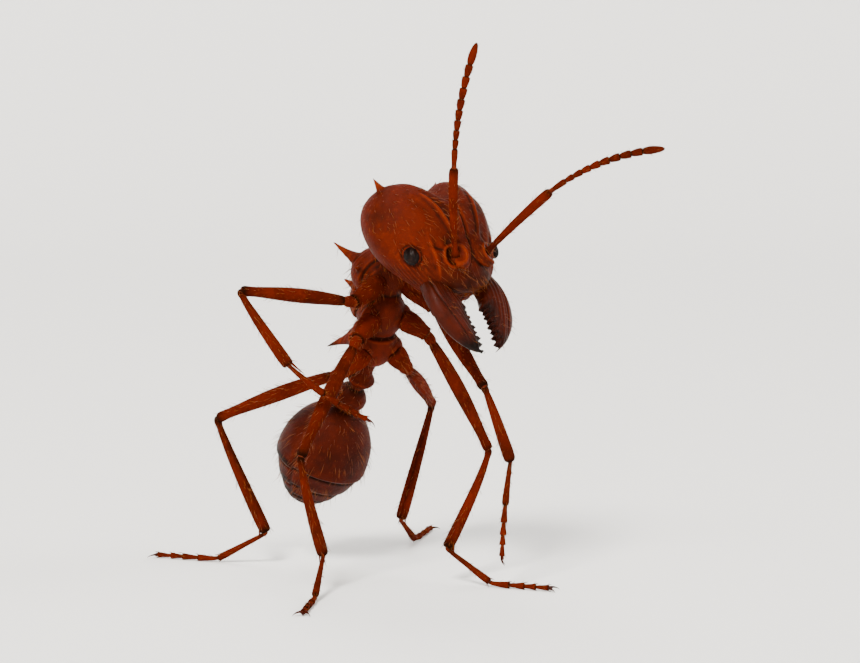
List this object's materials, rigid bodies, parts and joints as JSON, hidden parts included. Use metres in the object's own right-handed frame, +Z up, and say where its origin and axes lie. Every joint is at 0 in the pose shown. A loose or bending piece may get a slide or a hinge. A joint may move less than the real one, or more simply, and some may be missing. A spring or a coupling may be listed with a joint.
{
  "type": "leafcutter ant soldier, life size, standing reared up",
  "caption": "Still life-size leafcutter ant soldier, reared on its middle and hind feet, with its head turned, feelers raised and fore legs off the ground.",
  "frame": {"origin": "middle of the standing ant's box, on the floor under its feet", "axes": "+Z up; the trunk faces -Y; the ant's left side is +X"},
  "size_m": [0.0119, 0.0156, 0.0185],
  "materials": {
    "cuticle": "satin rust-red insect cuticle with a fine grain",
    "gaster_cuticle": "satin dark mahogany insect cuticle, banded",
    "limb_cuticle": "satin rust-red insect cuticle, darker at the joints",
    "mandible": "glossy dark brown, nearly black at the teeth",
    "eye": "glossy black, faceted",
    "membrane": "soft folded skin between the plates",
    "bristle": "fine golden brown hairs"
  },
  "bodies": {
    "root": {"head": "cuticle", "eye_right": "eye", "eye_left": "eye", "mandible_right": "mandible", "mandible_left": "mandible", "antenna_right_scape": "limb_cuticle", "antenna_right_funiculus": "limb_cuticle", "antenna_left_scape": "limb_cuticle", "antenna_left_funiculus": "limb_cuticle", "pronotum": "cuticle", "mesothorax": "cuticle", "propodeum": "cuticle", "petiole": "cuticle", "postpetiole": "cuticle", "gaster_front": "gaster_cuticle", "gaster_rear": "gaster_cuticle", "fore_right_coxa": "limb_cuticle", "fore_right_femur": "limb_cuticle", "fore_right_tibia": "limb_cuticle", "fore_right_tarsus": "limb_cuticle", "fore_left_coxa": "limb_cuticle", "fore_left_femur": "limb_cuticle", "fore_left_tibia": "limb_cuticle", "fore_left_tarsus": "limb_cuticle", "mid_right_coxa": "limb_cuticle", "mid_right_femur": "limb_cuticle", "mid_right_tibia": "limb_cuticle", "mid_right_tarsus": "limb_cuticle", "mid_left_coxa": "limb_cuticle", "mid_left_femur": "limb_cuticle", "mid_left_tibia": "limb_cuticle", "mid_left_tarsus": "limb_cuticle", "hind_right_coxa": "limb_cuticle", "hind_right_femur": "limb_cuticle", "hind_right_tibia": "limb_cuticle", "hind_right_tarsus": "limb_cuticle", "hind_left_coxa": "limb_cuticle", "hind_left_femur": "limb_cuticle", "hind_left_tibia": "limb_cuticle", "hind_left_tarsus": "limb_cuticle"}
  },
  "joints": []
}
